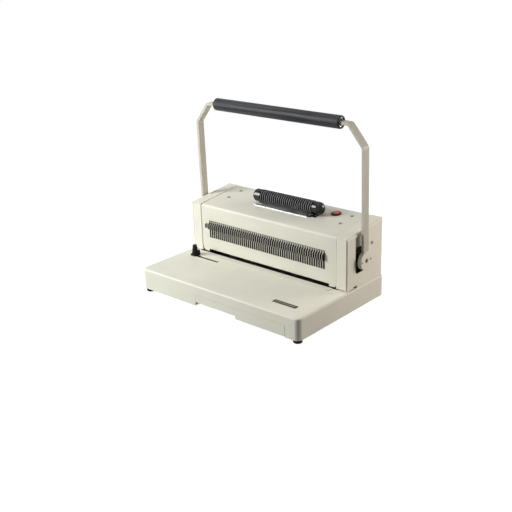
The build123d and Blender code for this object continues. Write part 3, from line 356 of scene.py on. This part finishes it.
slots = {part["node"]: part["material_slot"] for part in frame["record"]["subparts"]}
for name, slot in slots.items():
    node = frame["nodes"][name]
    node.data.materials.clear()
    node.data.materials.append(LOOKS[slot])


def piece(name, shape, look, body, smooth=True):
    """Turns a bmesh into a piece that rides on a body."""
    mesh = bpy.data.meshes.new(name)
    bmesh.ops.recalc_face_normals(shape, faces=shape.faces)
    shape.to_mesh(mesh)
    shape.free()
    if smooth:
        mesh.shade_smooth()
    item = bpy.data.objects.new(name, mesh)
    bpy.context.collection.objects.link(item)
    mesh.materials.append(LOOKS[look])
    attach(item, body)
    return item


def lathe(profile, place, turn):
    """Turns (along, radius) points about the place's Z axis."""
    shape = bmesh.new()
    rings = []
    for along, radius in profile:
        ring = []
        for j in range(turn):
            angle = 2 * pi * j / turn
            point = Vector((radius * cos(angle), radius * sin(angle), along))
            ring.append(shape.verts.new(place @ point))
        rings.append(ring)
    for first, second in zip(rings, rings[1:]):
        for j in range(turn):
            k = (j + 1) % turn
            shape.faces.new((first[j], second[j], second[k], first[k]))
    return shape


def arc(centre, radius, start, stop, steps):
    """Points of a profile's rounding, angles in degrees."""
    points = []
    for i in range(steps + 1):
        angle = radians(start + (stop - start) * i / steps)
        points.append((centre[0] + radius * cos(angle), centre[1] + radius * sin(angle)))
    return points


def block(low, high):
    """Box between two corners."""
    shape = bmesh.new()
    bmesh.ops.create_cube(shape, size=1)
    size = [b - a for a, b in zip(low, high)]
    middle = Vector([(a + b) / 2 for a, b in zip(low, high)])
    bmesh.ops.scale(shape, vec=size, verts=shape.verts)
    bmesh.ops.translate(shape, vec=middle, verts=shape.verts)
    return shape


# Ribbed rubber sleeve of the coil roller
RIBS = 25
RIB_STEPS = 10
RIB_ROUND = 1.3 * MM
GROOVE = 2.3 * MM
SLEEVE_BORE = 12.05 * MM
SLEEVE_TURN = 72
# Radii over which the crests' painted highlight comes in
RIB_HIGHLIGHT_START = 14.6 * MM
RIB_HIGHLIGHT_END = 15.1 * MM
ALONG_X = Matrix.Rotation(pi / 2, 4, "Y")
sleeve_low, sleeve_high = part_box("roller_sleeve")
sleeve_centre = (sleeve_low + sleeve_high) / 2
sleeve_half = (sleeve_high - sleeve_low) / 2
pitch = 2 * sleeve_half.x / RIBS
crest = sleeve_half.z
groove = crest - GROOVE
profile = [(-sleeve_half.x, SLEEVE_BORE), (-sleeve_half.x, groove)]
for rib in range(RIBS):
    x = -sleeve_half.x + (rib + 0.5) * pitch
    profile += arc((x, crest - RIB_ROUND), RIB_ROUND, 180, 0, RIB_STEPS)
    if rib < RIBS - 1:
        profile.append((x + pitch / 2, groove))
profile += [(sleeve_half.x, groove), (sleeve_half.x, SLEEVE_BORE), (-sleeve_half.x, SLEEVE_BORE)]
roller = piece(
    "roller_ribs",
    lathe(profile, Matrix.Translation(sleeve_centre) @ ALONG_X, SLEEVE_TURN),
    "black_rubber",
    "roller",
)
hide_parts("roller_sleeve")
roller.data.materials[0] = ribbed_rubber(
    "ribbed_rubber_look", sleeve_centre, RIB_HIGHLIGHT_START, RIB_HIGHLIGHT_END
)

# Painted baffles behind the upper half of the openings round the shaft
SHIELD_DEPTH = 5 * MM
SHIELD_THICKNESS = 1 * MM
SHIELD_HALF_WIDTH = 30 * MM
SHIELD_RISE = 30 * MM
SHIELD_TOP = 61.5 * MM
cap_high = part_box("end_cap_right")[1]
shaft_low, shaft_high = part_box("cross_shaft")
shaft = (shaft_low + shaft_high) / 2
for side, end in ((1, "right"), (-1, "left")):
    outer = side * (cap_high.x - SHIELD_DEPTH)
    inner = outer - side * SHIELD_THICKNESS
    low = (min(inner, outer), shaft.y - SHIELD_HALF_WIDTH, shaft.z + SHIELD_RISE)
    high = (max(inner, outer), shaft.y + SHIELD_HALF_WIDTH, shaft.z + SHIELD_TOP)
    piece("shield_" + end, block(low, high), "frame_paint", "machine", smooth=False)

# Camera where the photograph was taken from
AZIMUTH = radians(41.81)
ELEVATION = radians(21.02)
ROLL = radians(-1.8)
CAMERA_PLACE = (1.1890, -1.3432, 0.7823)
LENS_MM = 60.12
SENSOR_MM = 36
back = Vector((sin(AZIMUTH) * cos(ELEVATION), -cos(AZIMUTH) * cos(ELEVATION), sin(ELEVATION)))
right = Vector((cos(AZIMUTH), sin(AZIMUTH), 0))
up = back.cross(right)
rolled_right = right * cos(ROLL) + up * sin(ROLL)
rolled_up = up * cos(ROLL) - right * sin(ROLL)
camera_data = bpy.data.cameras.new("camera")
camera_data.sensor_width = SENSOR_MM
camera_data.lens = LENS_MM
camera = bpy.data.objects.new("camera", camera_data)
bpy.context.collection.objects.link(camera)
pose = Matrix((rolled_right, rolled_up, back)).transposed().to_4x4()
pose.translation = Vector(CAMERA_PLACE)
camera.matrix_world = pose
bpy.context.scene.camera = camera


def lamp(name, place, target, size, watts, colour):
    """Soft elliptical lamp of a width and height, turned to a point."""
    data = bpy.data.lights.new(name, "AREA")
    data.shape = "ELLIPSE"
    data.size, data.size_y = size
    data.energy = watts
    data.color = colour
    item = bpy.data.objects.new(name, data)
    item.location = place
    item.rotation_euler = (Vector(target) - Vector(place)).to_track_quat("-Z", "Y").to_euler()
    bpy.context.collection.objects.link(item)


# Two soft boxes, left front and right rear, and little from above
HOUSING_FOOT = (0, 0, 0.12)
TABLE_BACK = (0, 0, 0.1)
lamp("left_box", (-1.0, -0.92, 0.72), HOUSING_FOOT, (0.64, 0.95), 25.9, (0.97, 1, 0.985))
lamp("right_box", (1.05, 1.1, 0.5), HOUSING_FOOT, (0.75, 0.75), 15.8, (1, 0.93, 0.86))
lamp("top_box", (-0.1, -0.1, 1.9), TABLE_BACK, (0.9, 0.9), 7.5, (1, 1, 0.98))

# White surroundings for the camera and for what gloss and glass show, dimmer on the object
AMBIENT = 0.08
WHITE = (1, 1, 1, 1)


def either(tree, first, second):
    node = tree.nodes.new("ShaderNodeMath")
    node.operation = "MAXIMUM"
    tree.links.new(first, node.inputs[0])
    tree.links.new(second, node.inputs[1])
    return node.outputs[0]


def plain_ray(tree):
    """1 for a ray that the camera, a reflection or clear glass sees."""
    path = tree.nodes.new("ShaderNodeLightPath")
    shown = either(tree, path.outputs["Is Camera Ray"], path.outputs["Is Glossy Ray"])
    return either(tree, shown, path.outputs["Is Transmission Ray"])


def range_of(tree, value, low, high):
    node = tree.nodes.new("ShaderNodeMapRange")
    node.inputs["To Min"].default_value = low
    node.inputs["To Max"].default_value = high
    tree.links.new(value, node.inputs["Value"])
    return node.outputs["Result"]


world = bpy.data.worlds.new("world")
world.use_nodes = True
bpy.context.scene.world = world
world_tree = world.node_tree
background = world_tree.nodes["Background"]
background.inputs["Color"].default_value = WHITE
world_light = range_of(world_tree, plain_ray(world_tree), AMBIENT, 1.0)
world_tree.links.new(world_light, background.inputs["Strength"])

# Floor: pale for the light that bounces, white to the camera except in the object's shade
FLOOR_RADIUS = 1.1
FLOOR_SIDES = 96
FLOOR_DROP = 0.5 * MM
FLOOR_COLOUR = (0.35, 0.35, 0.34, 1)
FLOOR_GLOW = 0.85
floor_mesh = bpy.data.meshes.new("floor")
ground_shape = bmesh.new()
bmesh.ops.create_circle(ground_shape, cap_ends=True, radius=FLOOR_RADIUS, segments=FLOOR_SIDES)
ground_shape.to_mesh(floor_mesh)
ground_shape.free()
floor = bpy.data.objects.new("floor", floor_mesh)
floor.location = (0, 0, -FLOOR_DROP)
bpy.context.collection.objects.link(floor)
floor_look = bpy.data.materials.new("floor_look")
floor_look.use_nodes = True
tree = floor_look.node_tree
ground = tree.nodes["Principled BSDF"]
ground.inputs["Base Color"].default_value = FLOOR_COLOUR
ground.inputs["Roughness"].default_value = 0.9
ground.inputs["Specular IOR Level"].default_value = 0.0
glow = tree.nodes.new("ShaderNodeEmission")
glow.inputs["Color"].default_value = WHITE
tree.links.new(range_of(tree, plain_ray(tree), 0.0, FLOOR_GLOW), glow.inputs["Strength"])
lift = tree.nodes.new("ShaderNodeAddShader")
tree.links.new(ground.outputs[0], lift.inputs[0])
tree.links.new(glow.outputs[0], lift.inputs[1])
tree.links.new(lift.outputs[0], tree.nodes["Material Output"].inputs["Surface"])
floor_mesh.materials.append(floor_look)

bpy.context.scene.view_settings.view_transform = "Standard"
